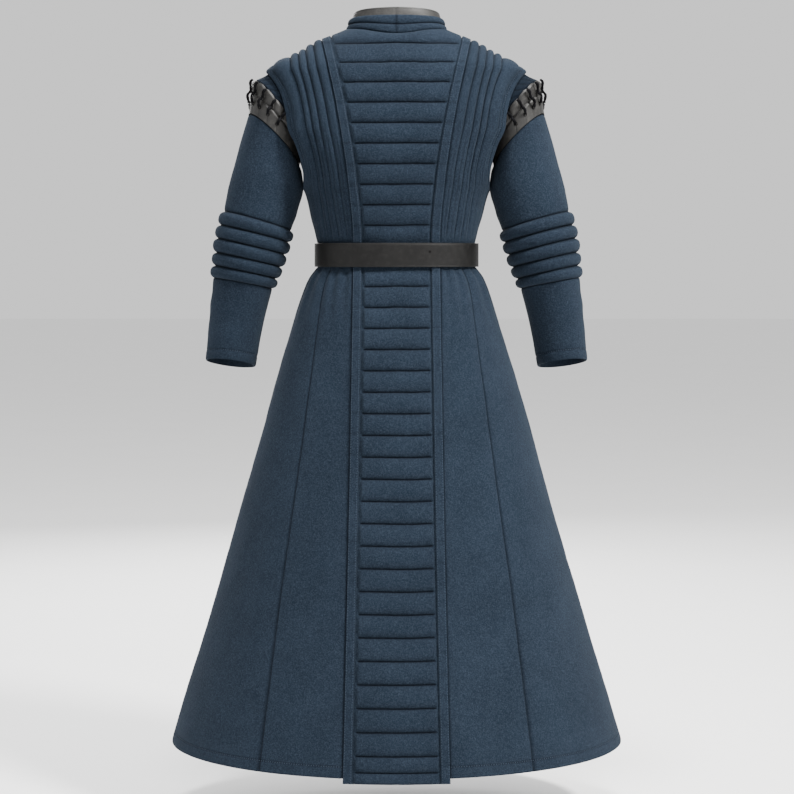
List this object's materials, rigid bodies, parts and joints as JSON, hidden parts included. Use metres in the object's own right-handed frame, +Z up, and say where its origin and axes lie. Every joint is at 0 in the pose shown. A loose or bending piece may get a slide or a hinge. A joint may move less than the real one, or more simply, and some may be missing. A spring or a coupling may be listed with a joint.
{
  "type": "quilted full-length coat with collar, laced shoulder caps and belt",
  "caption": "Full-length quilted blue cloth coat standing filled out with no wearer: ridged bodice, leather shoulder caps laced on, stand collar, flared channelled skirt and buckled belt.",
  "frame": {"origin": "wearer_shoulders: the point on the centre line, midway between front and back, at the height of the two side neck points, where the wearer's shoulders carry the coat", "axes": "+Z up from the hem to the collar, +Y towards the back of the coat, -Y towards its front, +X towards the wearer's left"},
  "size_m": [0.8942, 0.6099, 1.4646],
  "materials": {
    "blue_felt": "matt felted wool",
    "under_cloth": "matt wool in shade",
    "trim_leather": "worn satin",
    "belt_leather": "smooth satin",
    "lace_cord": "matt braided cord",
    "buckle_steel": "dull worn"
  },
  "bodies": {
    "root": {"back_centre": "blue_felt", "back_band_left": "blue_felt", "back_band_right": "blue_felt", "back_side_left": "blue_felt", "back_side_right": "blue_felt", "front_side_left": "blue_felt", "front_side_right": "blue_felt", "front_left": "blue_felt", "front_right": "blue_felt", "skirt_back_centre": "blue_felt", "skirt_band_left": "blue_felt", "skirt_band_right": "blue_felt", "skirt_back_gore_left": "blue_felt", "skirt_back_gore_right": "blue_felt", "skirt_side_gore_left": "blue_felt", "skirt_side_gore_right": "blue_felt", "skirt_front_gore_left": "blue_felt", "skirt_front_gore_right": "blue_felt", "collar_cloth": "blue_felt", "sleeve_left": "blue_felt", "sleeve_right": "blue_felt", "under_cap_left": "under_cloth", "under_cap_right": "under_cloth", "collar_leather": "trim_leather", "sleeve_leather_left": "trim_leather", "sleeve_leather_right": "trim_leather", "belt_strap": "belt_leather", "belt_keeper": "belt_leather", "lace_back_left_1": "lace_cord", "lace_back_right_1": "lace_cord", "lace_back_left_2": "lace_cord", "lace_back_right_2": "lace_cord", "lace_back_left_3": "lace_cord", "lace_back_right_3": "lace_cord", "lace_back_left_4": "lace_cord", "lace_back_right_4": "lace_cord", "lace_back_left_5": "lace_cord", "lace_back_right_5": "lace_cord", "lace_front_left_1": "lace_cord", "lace_front_right_1": "lace_cord", "lace_front_left_2": "lace_cord", "lace_front_right_2": "lace_cord", "lace_front_left_3": "lace_cord", "lace_front_right_3": "lace_cord", "lace_front_left_4": "lace_cord", "lace_front_right_4": "lace_cord", "lace_front_left_5": "lace_cord", "lace_front_right_5": "lace_cord", "buckle_frame": "buckle_steel", "buckle_prong": "buckle_steel"}
  },
  "joints": []
}
